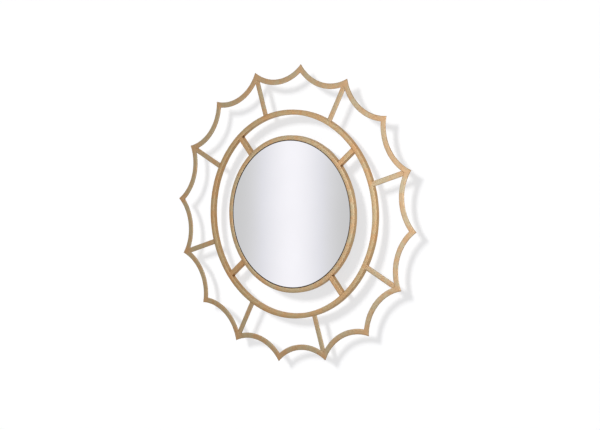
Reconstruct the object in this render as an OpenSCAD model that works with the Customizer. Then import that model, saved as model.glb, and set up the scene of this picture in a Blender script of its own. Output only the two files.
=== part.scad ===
// Sunburst wall mirror: a scalloped border of mitred flat bars, carried on spokes by two rings.
// The inner ring holds a round mirror from behind, closed by a board, clips and keyhole hangers.

/* [Mirror ring] */
// Diameter of the opening in the ring that holds the mirror
sight_d = 397; // [350:1:440]
// Width of the mirror ring, seen from the front
mirror_ring_w = 12.5; // [8:0.5:18]
// Depth of the mirror ring, from its front to its back edge
mirror_ring_depth = 13; // [12:0.5:18]
// Thickness of the ring's outer wall
ring_wall_t = 2; // [1.5:0.25:2.5]
// Thickness of the ring's front flange
flange_t = 1; // [1:0.1:2]

/* [Middle ring] */
// Clear width of the open work between the two rings
ring_gap = 55; // [30:0.5:90]
// Width of the middle ring's bar, seen from the front
middle_ring_w = 13.5; // [9:0.5:18]
// Depth of the middle ring's bar, from front to back
middle_ring_depth = 12.5; // [6:0.5:13]

/* [Sunburst border] */
// Distance from the outside of the middle ring to the points of the sunburst
border_reach = 120.5; // [100:0.5:160]
// Depth of each scallop, from the line between two points to the middle of the bar's outer edge
scallop_depth = 28.5; // [22:0.5:34]
// Width of the border bar, seen from the front
border_w = 14.5; // [9:0.5:18]
// Thickness of the border bar
border_t = 2.5; // [1.5:0.5:6]

/* [Spokes] */
// Width of the spokes that carry the border
outer_spoke_w = 14; // [8:0.5:16]
// Thickness of the spokes that carry the border
outer_spoke_t = 2.5; // [1.5:0.5:6]
// Width of the spokes between the two rings
inner_spoke_w = 14; // [8:0.5:18]
// Depth of the spokes between the two rings, from front to back
inner_spoke_depth = 12.5; // [6:0.5:13]

/* [Mirror and backing] */
// Thickness of the dark gasket between the ring's flange and the glass
gasket_t = 0.5; // [0.5:0.25:1.5]
// Width of the gasket that shows inside the ring's opening
gasket_show = 1.6; // [0.5:0.1:4]
// Thickness of the mirror glass
glass_t = 3; // [2:0.5:4]
// Thickness of the board behind the glass
board_t = 5; // [4:0.5:6]
// Gap all round between the ring's wall and the gasket, glass, card and board
glass_gap = 1.5; // [0.5:0.25:2.5]

/* [Backing clips] */
// Width of a retaining clip
clip_w = 14; // [10:0.5:20]
// Reach of a retaining clip, from the ring's outside edge over the board
clip_reach = 26; // [20:1:40]
// Thickness of a retaining clip
clip_t = 1.5; // [1:0.25:2.5]
// Shank diameter of the clip screws
screw_d = 3; // [2:0.25:4]
// Head diameter of the clip screws
screw_head_d = 6; // [5:0.25:8]
// Head height of the clip screws
screw_head_h = 1.8; // [1:0.1:2.4]
// Length of screw that bites into the board
screw_bite = 3.5; // [2:0.25:3.75]

/* [Wall hangers] */
// Distance from the wall to the back edge of the mirror ring
wall_gap = 20; // [10:0.5:24]
// Distance between the two hanging screws on the wall
hanger_spacing = 220; // [200:5:260]
// Width of a hanger
hanger_w = 24; // [18:1:32]
// Thickness of the hanger plate
hanger_t = 2; // [1.5:0.25:3]
// Diameter of the keyhole's round hole, which takes the screw's head
keyhole_d = 9; // [7:0.25:11]
// Width of the keyhole's slot, which takes the screw's shank
keyhole_slot_w = 4.5; // [3:0.25:5]
// Travel along the keyhole, from the round hole's centre to the slot's end
keyhole_travel = 10; // [8:0.5:16]

/* [Wall bumpers] */
// Diameter of a bumper where it sticks to the board
bumper_d = 18; // [12:0.5:24]
// Diameter of a bumper's flat end against the wall
bumper_tip_d = 14; // [8:0.5:20]
// Distance of the bumpers' centres from the edge of the board
bumper_inset = 20; // [12:1:60]

/* [Finish] */
// Radius of all front edges
edge_r = 0.8; // [0.3:0.1:0.9]

/* [Hidden] */
$fn = 96;

// Angles, counted anticlockwise from three o'clock as seen from the front
point_count = 16;
point_step = 360 / point_count;
half_step = point_step / 2;
outer_spoke_count = point_count / 2;
inner_spoke_count = 4;
clip_count = 8;
bumper_angle = 45;

// Depths, counted forwards from the wall
overall_depth = wall_gap + mirror_ring_depth;
flange_back = overall_depth - flange_t;
glass_front = flange_back - gasket_t;
glass_back = glass_front - glass_t;
board_front = wall_gap + board_t;

// Radii, from the mirror outwards
sight_r = sight_d / 2;
mirror_ring_r = sight_r + mirror_ring_w;
wall_inner_r = mirror_ring_r - ring_wall_t;
glass_r = wall_inner_r - glass_gap;
middle_ring_inner_r = mirror_ring_r + ring_gap;
middle_ring_r = middle_ring_inner_r + middle_ring_w;
burst_r = middle_ring_r + border_reach;

// A scallop is an arc about a point outside the border, through two neighbouring points of the sunburst
half_chord = burst_r * sin(half_step);
scallop_r = (half_chord ^ 2 + scallop_depth ^ 2) / (2 * scallop_depth);
scallop_inner_r = scallop_r + border_w;
scallop_centre = burst_r * cos(half_step) - scallop_depth + scallop_r;
scallop_half_angle = asin(half_chord / scallop_r);
spare_angle = 6;

// The clip screws sit in the middle of the clip's stretch over the board
clip_inner_r = mirror_ring_r - clip_reach;
clip_screw_r = (clip_inner_r + glass_r) / 2;
screw_play = 0.05;

// Heights along a hanger, from its foot on the ring down to its free end
bend_angle = 45;
plate_margin = 6;
foot_corner_x = (hanger_spacing + hanger_w) / 2;
foot_end = sqrt(wall_inner_r ^ 2 - foot_corner_x ^ 2) - plate_margin;
pad_start = foot_end - (wall_gap - hanger_t) / tan(bend_angle);
bend_shift = hanger_t * tan(bend_angle / 2);
slot_end = pad_start - plate_margin - keyhole_slot_w / 2;
keyhole_height = slot_end - keyhole_travel;
pad_end = keyhole_height - keyhole_d / 2 - plate_margin;

// Extra length of a cutter past the faces that it cuts
past = 1;

function numbered(name, count, digits) =
    [for (i = [1:count]) str(name, digits > 1 && i < 10 ? "0" : "", i)];

BORDER_ARCS = numbered("border_arc_", point_count, 2);
OUTER_SPOKES = numbered("outer_spoke_", outer_spoke_count, 1);
INNER_SPOKES = numbered("inner_spoke_", inner_spoke_count, 1);
CLIPS = numbered("retaining_clip_", clip_count, 1);

GOLD = [0.72, 0.59, 0.41];
SILVER = [0.90, 0.91, 0.93];
CARD = [0.70, 0.55, 0.37];
BOARD = [0.50, 0.37, 0.25];
ZINC = [0.62, 0.63, 0.64];
BLACK = [0.10, 0.10, 0.10];

// Stands what is drawn flat, with its height counted from the wall, upright with its front towards -Y
module upright() {
    rotate([90, 0, 0])
        translate([0, 0, -overall_depth / 2])
            children();
}

// Section of a bar with its two front edges rounded, its front at the top and its left side at x = 0
module bar_section(width, depth) {
    square([width, depth - edge_r]);
    translate([edge_r, 0])
        square([width - 2 * edge_r, depth]);
    for (side = [edge_r, width - edge_r])
        translate([side, depth - edge_r])
            circle(edge_r);
}

// Straight bar along +X between two radii, with its front face flush with the front of the object
module radial_bar(from, to, width, depth) {
    translate([from, 0, overall_depth - depth])
        rotate([90, 0, 90])
            linear_extrude(to - from)
                translate([-width / 2, 0])
                    bar_section(width, depth);
}

// Round cutter through the whole depth of the object
module through_cutter(radius) {
    translate([0, 0, -past])
        cylinder(r = radius, h = overall_depth + 2 * past);
}

// One scallop of the border, mitred on the radial lines through its two points
module border_arc(index) {
    sweep_angle = scallop_half_angle + spare_angle;
    wedge_length = 2 * burst_r;
    color(GOLD)
        upright()
            rotate((index + 0.5) * point_step)
                intersection() {
                    translate([scallop_centre, 0, overall_depth - border_t])
                        rotate(180 - sweep_angle)
                            rotate_extrude(angle = 2 * sweep_angle)
                                translate([scallop_r, 0])
                                    bar_section(border_w, border_t);
                    linear_extrude(overall_depth + past)
                        polygon([
                            [0, 0],
                            wedge_length * [cos(half_step), -sin(half_step)],
                            wedge_length * [cos(half_step), sin(half_step)]
                        ]);
                }
}

// Spoke from the middle ring to a point, coped to the ring and into the corner between two scallops
module outer_spoke(index) {
    color(GOLD)
        upright()
            rotate((2 * index + 1) * point_step)
                difference() {
                    radial_bar(middle_ring_inner_r, burst_r, outer_spoke_w, outer_spoke_t);
                    through_cutter(middle_ring_r);
                    for (side = [-1, 1])
                        rotate(side * half_step)
                            translate([scallop_centre, 0, 0])
                                through_cutter(scallop_inner_r);
                }
}

// Spoke between the two rings, coped to both
module inner_spoke(index) {
    color(GOLD)
        upright()
            rotate((index + 0.5) * 360 / inner_spoke_count)
                intersection() {
                    difference() {
                        radial_bar(sight_r, middle_ring_r, inner_spoke_w, inner_spoke_depth);
                        through_cutter(mirror_ring_r);
                    }
                    through_cutter(middle_ring_inner_r);
                }
}

module middle_ring() {
    color(GOLD)
        upright()
            translate([0, 0, overall_depth - middle_ring_depth])
                rotate_extrude()
                    translate([middle_ring_inner_r, 0])
                        bar_section(middle_ring_w, middle_ring_depth);
}

// Angle section: a front flange over the rim of the glass, and an outer wall round the backing
module mirror_ring() {
    rebate = [mirror_ring_w - ring_wall_t, mirror_ring_depth - flange_t] + [past, past];
    color(GOLD)
        upright()
            translate([0, 0, wall_gap])
                rotate_extrude()
                    translate([sight_r, 0])
                        difference() {
                            bar_section(mirror_ring_w, mirror_ring_depth);
                            translate([-past, -past])
                                square(rebate);
                        }
}

// Flat ring of dark tape that the glass is bedded on, seen as a fine line round the mirror
module glazing_gasket() {
    color(BLACK)
        upright()
            translate([0, 0, glass_front])
                linear_extrude(gasket_t)
                    difference() {
                        circle(glass_r);
                        circle(sight_r - gasket_show);
                    }
}

module mirror_glass() {
    color(SILVER)
        upright()
            translate([0, 0, glass_back])
                cylinder(r = glass_r, h = glass_t);
}

// Corrugated card that fills the depth left between the glass and the board
module cushion_sheet() {
    color(CARD)
        upright()
            translate([0, 0, board_front])
                cylinder(r = glass_r, h = glass_back - board_front);
}

module at_clips() {
    for (index = [0:clip_count - 1])
        at_clip(index)
            children();
}

module at_clip(index) {
    rotate((index + 0.5) * 360 / clip_count)
        children();
}

module back_board() {
    color(BOARD)
        upright()
            difference() {
                translate([0, 0, wall_gap])
                    cylinder(r = glass_r, h = board_t);
                at_clips()
                    translate([clip_screw_r, 0, wall_gap - past])
                        cylinder(d = screw_d + 2 * screw_play, h = screw_bite + screw_play + past);
            }
}

// Plate on the ring's back edge that reaches over the board, with a round end and a screw hole
module retaining_clip(index) {
    color(ZINC)
        upright()
            at_clip(index)
                translate([0, 0, wall_gap - clip_t])
                    linear_extrude(clip_t)
                        difference() {
                            intersection() {
                                circle(mirror_ring_r);
                                union() {
                                    translate([clip_inner_r + clip_w / 2, -clip_w / 2])
                                        square([clip_reach, clip_w]);
                                    translate([clip_inner_r + clip_w / 2, 0])
                                        circle(d = clip_w);
                                }
                            }
                            translate([clip_screw_r, 0])
                                circle(d = screw_d + 2 * screw_play);
                        }
}

module clip_screws() {
    color(ZINC)
        upright()
            at_clips()
                translate([clip_screw_r, 0, wall_gap - clip_t]) {
                    translate([0, 0, -screw_head_h])
                        cylinder(d = screw_head_d, h = screw_head_h);
                    cylinder(d = screw_d, h = clip_t + screw_bite);
                }
}

// Joggled plate: its foot lies on the ring's back edge and the board, its pad with the keyhole on the wall
module hanger(side) {
    color(ZINC)
        upright()
            translate([side * hanger_spacing / 2, 0, 0])
                difference() {
                    intersection() {
                        translate([-hanger_w / 2, 0, 0])
                            rotate([90, 0, 90])
                                linear_extrude(hanger_w)
                                    polygon([
                                        [mirror_ring_r, wall_gap],
                                        [foot_end, wall_gap],
                                        [pad_start, hanger_t],
                                        [pad_end, hanger_t],
                                        [pad_end, 0],
                                        [pad_start + bend_shift, 0],
                                        [foot_end + bend_shift, wall_gap - hanger_t],
                                        [mirror_ring_r, wall_gap - hanger_t]
                                    ]);
                        translate([-side * hanger_spacing / 2, 0, 0])
                            through_cutter(mirror_ring_r);
                    }
                    translate([0, 0, -past])
                        linear_extrude(hanger_t + 2 * past)
                            keyhole();
                }
}

module keyhole() {
    translate([0, keyhole_height])
        circle(d = keyhole_d);
    translate([-keyhole_slot_w / 2, keyhole_height])
        square([keyhole_slot_w, keyhole_travel]);
    translate([0, slot_end])
        circle(d = keyhole_slot_w);
}

// Rubber cone stuck to the board, as high as the gap to the wall
module bumper(side) {
    color(BLACK)
        upright()
            rotate(-90 + side * bumper_angle)
                translate([glass_r - bumper_inset, 0, 0])
                    cylinder(d1 = bumper_tip_d, d2 = bumper_d, h = wall_gap);
}

for (i = [0:point_count - 1])
    border_arc(i);
for (i = [0:outer_spoke_count - 1])
    outer_spoke(i);
for (i = [0:inner_spoke_count - 1])
    inner_spoke(i);
for (i = [0:clip_count - 1])
    retaining_clip(i);
middle_ring();
mirror_ring();
glazing_gasket();
mirror_glass();
cushion_sheet();
back_board();
clip_screws();
hanger(-1);  // hanger_left
hanger(1);  // hanger_right
bumper(-1);  // bumper_left
bumper(1);  // bumper_right
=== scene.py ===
"""Looks of a sunburst wall mirror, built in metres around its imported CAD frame.

X runs to the right, Z up, and the front of the mirror faces -Y.
"""

import logging
import math
from collections.abc import Sequence
from dataclasses import dataclass, replace
from enum import Enum
from typing import Any

import bmesh
import bpy
from bpy.types import Material, Mesh, Node, NodeTree, Object, Scene
from bpy.types import NodeSocket as Socket
from mathutils import Matrix, Vector

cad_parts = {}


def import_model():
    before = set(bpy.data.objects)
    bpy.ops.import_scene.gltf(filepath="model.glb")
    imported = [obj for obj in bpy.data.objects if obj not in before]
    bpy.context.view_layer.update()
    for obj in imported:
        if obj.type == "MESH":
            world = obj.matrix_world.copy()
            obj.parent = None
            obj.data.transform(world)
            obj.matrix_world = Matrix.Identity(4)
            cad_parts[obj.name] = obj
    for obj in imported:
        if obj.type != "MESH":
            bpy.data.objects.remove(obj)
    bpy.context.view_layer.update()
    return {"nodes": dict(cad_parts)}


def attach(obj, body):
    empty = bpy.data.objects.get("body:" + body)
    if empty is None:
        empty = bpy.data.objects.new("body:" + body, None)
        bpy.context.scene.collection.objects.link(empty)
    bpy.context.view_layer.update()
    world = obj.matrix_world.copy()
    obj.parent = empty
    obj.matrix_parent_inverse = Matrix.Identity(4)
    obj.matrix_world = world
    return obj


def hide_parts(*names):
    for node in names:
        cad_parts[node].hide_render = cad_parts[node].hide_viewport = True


LOG = logging.getLogger("sunburst_mirror")
BODY = "root"
BAR_UV = "bar_uv"
EDGE = "edge"
JOINT = "joint"
# Attribute of how much a point faces aside or back, darkened in the gold as painted shade.
SIDE_SHADE = "side"
FAR_FROM_JOINTS = 1.0
FULL_TURN = 2 * math.pi
QUARTER = math.pi / 2
SHARP = math.radians(35)

Color = tuple[float, float, float]
Point = tuple[float, float, float]
Span = tuple[float, float]
Inputs = dict[Any, Any] | None

UNIT: Span = (0.0, 1.0)
WHITE: Color = (1.0, 1.0, 1.0)
SOCKET_KINDS = {
    float: "NodeSocketFloat",
    int: "NodeSocketInt",
    Object: "NodeSocketObject",
    Material: "NodeSocketMaterial",
}


class Slot(Enum):
    """Material slots that are passed along with new pieces."""

    GOLD = "gold_metal"
    ZINC = "zinc_steel"
    RUBBER = "black_rubber"


class SpokeEnd(Enum):
    """How the outer end of a spoke is cut."""

    ROUND = 0
    POINTED = 1


class LightKind(Enum):
    """Kinds of light, by Blender's names."""

    SUN = "SUN"
    PANEL = "AREA"


class Graph:
    """Adds nodes to a node tree and wires them together."""

    def __init__(self, tree: NodeTree) -> None:
        """Keeps the tree to fill."""
        self.tree = tree

    def add(self, kind: str, inputs: Inputs = None, **settings: Any) -> Node:
        """Adds one node.

        Args:
            kind: Type name of the node.
            inputs: Values or output sockets by input name or number.
            **settings: Properties of the node.

        Returns:
            The new node.
        """
        node = self.tree.nodes.new(kind)
        for name, value in settings.items():
            setattr(node, name, value)
        for key, value in (inputs or {}).items():
            self.feed(node, key, value)
        return node

    def feed(self, node: Node, key: Any, value: Any) -> None:
        """Sets an input of a node, or links it.

        Args:
            node: The node.
            key: Name or number of its input.
            value: A plain value or an output socket.
        """
        socket = node.inputs[key] if isinstance(key, int) else self.pick(node.inputs, key)
        if isinstance(value, Socket):
            self.tree.links.new(value, socket)
        elif socket.type == "RGBA":
            socket.default_value = (*value, 1.0)
        else:
            socket.default_value = value

    @staticmethod
    def pick(sockets: Any, name: str) -> Socket:
        """Finds the socket of that name that is in use."""
        return next(s for s in sockets if s.name == name and not s.is_unavailable)

    def out(self, kind: str, output: str, inputs: Inputs = None, **settings: Any) -> Socket:
        """Adds one node and returns its output of that name."""
        return self.pick(self.add(kind, inputs, **settings).outputs, output)

    def math(self, operation: str, *values: Any) -> Socket:
        """Adds a Math node with its one or two inputs."""
        return self.out("ShaderNodeMath", "Value", dict(enumerate(values)), operation=operation)

    def plus(self, a: Any, b: Any) -> Socket:
        """Adds two values."""
        return self.math("ADD", a, b)

    def less(self, a: Any, b: Any) -> Socket:
        """Takes the second value from the first."""
        return self.math("SUBTRACT", a, b)

    def times(self, a: Any, b: Any) -> Socket:
        """Multiplies two values."""
        return self.math("MULTIPLY", a, b)

    def sine(self, angle: Any) -> Socket:
        """Takes the sine of an angle."""
        return self.math("SINE", angle)

    def cosine(self, angle: Any) -> Socket:
        """Takes the cosine of an angle."""
        return self.math("COSINE", angle)

    def between(self, a: Any, b: Any, share: Any) -> Socket:
        """Goes a share of the way from one value to another."""
        return self.plus(self.times(self.less(b, a), share), a)

    def hypotenuse(self, a: Any, b: Any) -> Socket:
        """Works out the hypotenuse of a right triangle from its legs."""
        return self.math("SQRT", self.plus(self.times(a, a), self.times(b, b)))

    def leg(self, hypotenuse: Any, other: Any) -> Socket:
        """Works out a leg of a right triangle from its hypotenuse and its other leg."""
        squares = (self.times(value, value) for value in (hypotenuse, other))
        return self.math("SQRT", self.less(*squares))

    def parts(self, vector: Any) -> Any:
        """Splits a vector into its outputs X, Y and Z."""
        return self.add("ShaderNodeSeparateXYZ", {"Vector": vector}).outputs

    def vector(self, **parts: Any) -> Socket:
        """Joins X, Y and Z to a vector."""
        return self.out("ShaderNodeCombineXYZ", "Vector", parts)

    def remap(self, value: Any, source: Span, result: Span = UNIT) -> Socket:
        """Maps a range of a value to another range, and clamps it.

        Args:
            value: The value.
            source: Ends of its range.
            result: What the ends become.

        Returns:
            The mapped value.
        """
        inputs = {"Value": value, "From Min": source[0], "From Max": source[1]}
        inputs |= {"To Min": result[0], "To Max": result[1]}
        return self.out("ShaderNodeMapRange", "Result", inputs)

    def mix(self, factor: Any, a: Any, b: Any) -> Socket:
        """Mixes two colours by the share of the second."""
        ends = {"Factor": factor, "A": a, "B": b}
        return self.out("ShaderNodeMix", "Result", ends, data_type="RGBA")

    def noise(self, vector: Any, scale: Any, detail: float) -> Socket:
        """Adds a noise texture with its features per metre and its octaves."""
        inputs = {"Vector": vector, "Scale": scale, "Detail": detail}
        return self.out("ShaderNodeTexNoise", "Fac", inputs)


@dataclass(frozen=True)
class BarJoint:
    """Place where a radial bar meets a ring."""

    angle: float
    radius: float
    half_width: float

    def distance(self, angle: float, radius: float) -> float:
        """Distance of a point of the ring from the end of the bar, zero under it."""
        aside = abs(math.remainder(angle - self.angle, FULL_TURN)) * radius - self.half_width
        return math.hypot(max(0.0, aside), radius - self.radius)


@dataclass(frozen=True)
class Plan:
    """Sizes of the mirror in metres, as its CAD frame has them."""

    wall_gap: float = 0.020
    edge_r: float = 0.0008
    points: int = 16
    inner_spokes: int = 4
    sight_r: float = 0.1985
    gasket_show: float = 0.0016
    mirror_ring_w: float = 0.0125
    mirror_ring_depth: float = 0.013
    ring_wall_t: float = 0.002
    flange_t: float = 0.001
    ring_gap: float = 0.055
    middle_ring_w: float = 0.0135
    middle_ring_depth: float = 0.0125
    border_reach: float = 0.1205
    scallop_depth: float = 0.0285
    border_w: float = 0.0145
    border_t: float = 0.0025
    outer_spoke_w: float = 0.014
    outer_spoke_t: float = 0.0025
    inner_spoke_w: float = 0.014
    inner_spoke_depth: float = 0.0125
    glass_gap: float = 0.0015
    clip_reach: float = 0.026
    clip_t: float = 0.0015
    screw_d: float = 0.003
    screw_head_d: float = 0.006
    screw_head_h: float = 0.0018
    screw_bite: float = 0.0035
    bumper_d: float = 0.018
    bumper_tip_d: float = 0.014
    bumper_inset: float = 0.020

    @property
    def wall(self) -> float:
        """Y of the wall."""
        return (self.wall_gap + self.mirror_ring_depth) / 2

    @property
    def front(self) -> float:
        """Y of the front plane, as far before the middle as the wall is behind it."""
        return -self.wall

    @property
    def mirror_ring_r(self) -> float:
        """Outside radius of the ring that holds the mirror."""
        return self.sight_r + self.mirror_ring_w

    @property
    def glass_r(self) -> float:
        """Radius of the glass and the board."""
        return self.mirror_ring_r - self.ring_wall_t - self.glass_gap

    @property
    def back_y(self) -> float:
        """Y of the board's back, level with the back edge of the mirror's ring."""
        return self.front + self.mirror_ring_depth

    @property
    def clip_screw_r(self) -> float:
        """Radius of the circle that the clips' screws stand on."""
        return (self.mirror_ring_r - self.clip_reach + self.glass_r) / 2

    @property
    def middle_inner_r(self) -> float:
        """Inside radius of the middle ring."""
        return self.mirror_ring_r + self.ring_gap

    @property
    def middle_r(self) -> float:
        """Outside radius of the middle ring."""
        return self.middle_inner_r + self.middle_ring_w

    @property
    def burst_r(self) -> float:
        """Radius to the points of the sunburst."""
        return self.middle_r + self.border_reach

    @property
    def half_step(self) -> float:
        """Half the angle between two points."""
        return math.pi / self.points

    @property
    def scallop_r(self) -> float:
        """Radius of the outer edge of a scallop."""
        half_chord = self.burst_r * math.sin(self.half_step)
        return (half_chord**2 + self.scallop_depth**2) / (2 * self.scallop_depth)

    @property
    def scallop_centre(self) -> float:
        """Distance from the middle of the mirror to the centre of a scallop."""
        return self.burst_r * math.cos(self.half_step) - self.scallop_depth + self.scallop_r

    @property
    def inner_turns(self) -> list[float]:
        """Angles of the spokes between the rings."""
        step = FULL_TURN / self.inner_spokes
        return [(index + 0.5) * step for index in range(self.inner_spokes)]

    def spoke_joints(self, radius: float) -> list[BarJoint]:
        """Places where the spokes between the rings meet a ring's wall of that radius."""
        return [BarJoint(turn, radius, self.inner_spoke_w / 2) for turn in self.inner_turns]


class Effects:
    """Shader node groups that more than one finish uses."""

    LINE_DETAIL = 2.0
    LINE_CUT: Span = (0.3, 0.7)
    CLOUD_DETAIL = 3.0
    CLOUD_CUT: Span = (0.32, 0.68)
    RUB_SCALE = 55.0
    RUB_DETAIL = 4.0
    RUB_CUT: Span = (0.35, 0.65)
    RUB_SPREAD: Span = (0.25, 1.0)

    def __init__(self) -> None:
        """Builds the groups."""
        self.streaks = self._streaks()
        self.mottle = self._mottle()
        self.wear_and_shade = self._wear_and_shade()

    @staticmethod
    def _group(name: str, inputs: list[str], outputs: list[str]) -> tuple[Graph, Any, Node]:
        """Starts a shader group that reads a vector.

        Args:
            name: Name of the group.
            inputs: Names of its value inputs, beside the vector.
            outputs: Names of its value outputs.

        Returns:
            Its graph, its input sockets and its output node.
        """
        tree = bpy.data.node_groups.new(name, "ShaderNodeTree")
        tree.interface.new_socket("Vector", in_out="INPUT", socket_type="NodeSocketVector")
        for way, keys in (("INPUT", inputs), ("OUTPUT", outputs)):
            for key in keys:
                tree.interface.new_socket(key, in_out=way, socket_type=SOCKET_KINDS[float])
        graph = Graph(tree)
        return graph, graph.add("NodeGroupInput").outputs, graph.add("NodeGroupOutput")

    def _streaks(self) -> NodeTree:
        """Makes fine brush lines that run along a bar.

        Returns:
            The group.
        """
        graph, given, sink = self._group("brush_lines", ["Length", "Fineness"], ["Lines"])
        place = graph.parts(given["Vector"])
        along = graph.times(place["X"], given["Length"])
        across = graph.times(place["Y"], given["Fineness"])
        lines = graph.noise(graph.vector(X=along, Y=across), 1.0, self.LINE_DETAIL)
        graph.feed(sink, "Lines", graph.remap(lines, self.LINE_CUT))
        return graph.tree

    def _mottle(self) -> NodeTree:
        """Makes soft clouds of tone, with a fine speckle.

        Returns:
            The group.
        """
        names = ["Scale", "Speckle Scale"]
        graph, given, sink = self._group("mottle", names, ["Clouds", "Speckle"])
        clouds = graph.noise(given["Vector"], given["Scale"], self.CLOUD_DETAIL)
        speckle = graph.noise(given["Vector"], given["Speckle Scale"], self.LINE_DETAIL)
        graph.feed(sink, "Clouds", graph.remap(clouds, self.CLOUD_CUT))
        graph.feed(sink, "Speckle", graph.remap(speckle, self.LINE_CUT))
        return graph.tree

    def _wear_and_shade(self) -> NodeTree:
        """Makes masks for rubbed edges, painted side and corner shade, and tint by joints.

        Returns:
            The group.
        """
        reaches = ["Corner Reach", "Joint Reach"]
        masks = ["Rubbed", "Side", "Corner Shade", "Joint"]
        graph, given, sink = self._group("edge_wear_and_painted_shade", reaches, masks)
        patches = graph.noise(given["Vector"], self.RUB_SCALE, self.RUB_DETAIL)
        patchy = graph.remap(patches, self.RUB_CUT, self.RUB_SPREAD)
        edge, joint, side = (
            graph.out("ShaderNodeAttribute", "Fac", attribute_name=name)
            for name in (EDGE, JOINT, SIDE_SHADE)
        )
        # Painted shade: the sides and backs of bars, and more of it in corners by joints.
        corner_shade_mask, by_joint = (
            graph.remap(graph.math("DIVIDE", joint, given[reach]), UNIT, (1.0, 0.0))
            for reach in reaches
        )
        values = (graph.times(edge, patchy), side, graph.times(corner_shade_mask, side), by_joint)
        for mask, value in zip(masks, values):
            graph.feed(sink, mask, value)
        return graph.tree


class Coat(Graph):
    """Graph of a material with one Principled shader, and the shared effects at hand."""

    def __init__(self, tree: NodeTree, effects: Effects) -> None:
        """Starts from the object's own coordinates.

        Args:
            tree: The material's tree.
            effects: The shared effects.
        """
        super().__init__(tree)
        self.effects = effects
        self.where = self.out("ShaderNodeTexCoord", "Object")

    def place(self, group: NodeTree, inputs: dict[str, Any]) -> Any:
        """Places a shared effect and returns its outputs."""
        return self.add("ShaderNodeGroup", inputs, node_tree=group).outputs

    def mottle(self, scale: float, speckle_scale: float) -> tuple[Socket, Socket]:
        """Places clouds and speckle.

        Args:
            scale: Clouds per metre.
            speckle_scale: Specks per metre.

        Returns:
            The clouds and the speckle.
        """
        inputs = {"Vector": self.where, "Scale": scale, "Speckle Scale": speckle_scale}
        outputs = self.place(self.effects.mottle, inputs)
        return outputs["Clouds"], outputs["Speckle"]

    def lines(self, vector: Any, length: float, fineness: float) -> Socket:
        """Places lines, so many per metre along them and across them."""
        inputs = {"Vector": vector, "Length": length, "Fineness": fineness}
        return self.place(self.effects.streaks, inputs)["Lines"]

    def shade(self, **inputs: Any) -> None:
        """Sets or links inputs of the shader, with spaces written as underscores."""
        for key, value in inputs.items():
            self.feed(self.tree.nodes["Principled BSDF"], key.replace("_", " "), value)

    def relief(self, height: Any, strength: float, distance: float) -> None:
        """Gives the shader a bump."""
        bump = {"Strength": strength, "Distance": distance, "Height": height}
        self.shade(Normal=self.out("ShaderNodeBump", "Normal", bump))


@dataclass(frozen=True)
class Finish:
    """Base of all finishes: a named material.

    Pairs of numbers hold the scales of a pattern, the ends of a range, or the strength and
    height of a relief.
    """

    name: str
    effects: Effects

    def material(self) -> Material:
        """Makes the material.

        Returns:
            The material.
        """
        material = bpy.data.materials.new(self.name)
        material.use_nodes = True
        self.dress(Coat(material.node_tree, self.effects))
        return material

    def dress(self, coat: Coat) -> None:
        """Adds the finish's nodes, in each finish's own way."""
        raise NotImplementedError


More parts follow.
